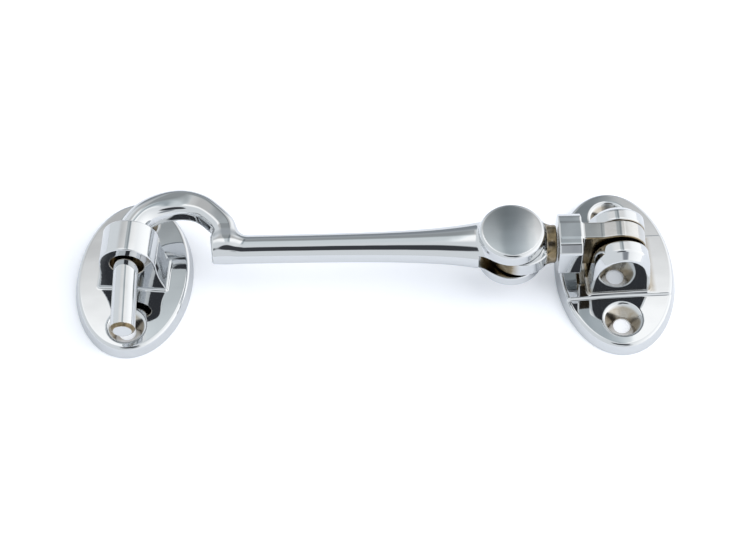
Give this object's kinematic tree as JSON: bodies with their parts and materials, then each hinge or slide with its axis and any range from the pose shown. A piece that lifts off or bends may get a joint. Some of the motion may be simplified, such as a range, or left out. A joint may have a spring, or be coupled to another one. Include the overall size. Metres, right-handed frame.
{
  "type": "cabin hook and eye",
  "caption": "Cabin hook and eye: a jointed stay whose arm turns on a hinge plate, swivels, folds at a knuckle and drops its bent pin into the bore of an eye plate.",
  "frame": {"origin": "centre of the hinge plate's flat back face", "axes": "+Z out of the two plates, away from the wall; +X along the hook from the eye to the hinge; +Y across the plates, on the gooseneck's side"},
  "size_m": [0.1502, 0.0521, 0.0214],
  "materials": {
    "chrome": "polished chrome plate on cast brass",
    "pin_brass": "drawn brass wire, cut ends"
  },
  "bodies": {
    "hinge_end": {"hinge_plate": "chrome", "hinge_pin": "pin_brass"},
    "swivel": {"swivel_block": "chrome"},
    "stem": {"stem": "chrome"},
    "hook": {"hook_arm": "chrome", "knuckle_pin": "pin_brass"},
    "eye": {"eye_plate": "chrome"}
  },
  "joints": [
    {"name": "hinge", "type": "hinge", "parent": "hinge_end", "child": "swivel", "pos_m": [0, 0, 0.0147], "axis": [0, 1, 0], "range_deg": [0, 180]},
    {"name": "stem_swivel", "type": "hinge", "parent": "swivel", "child": "stem", "pos_m": [-0.01528, 0.00069, 0.0147], "axis": [0.999, -0.0454, 0], "range_deg": [-180, 180]},
    {"name": "knuckle", "type": "hinge", "parent": "stem", "child": "hook", "pos_m": [-0.02657, 0.00121, 0.0147], "axis": [0, 0, 1], "range_deg": [-90, 90]},
    {"name": "eye_lift", "type": "slide", "parent": "hook", "child": "eye", "axis": [-0.0454, -0.999, 0], "range_m": [0, 0.0285]}
  ]
}
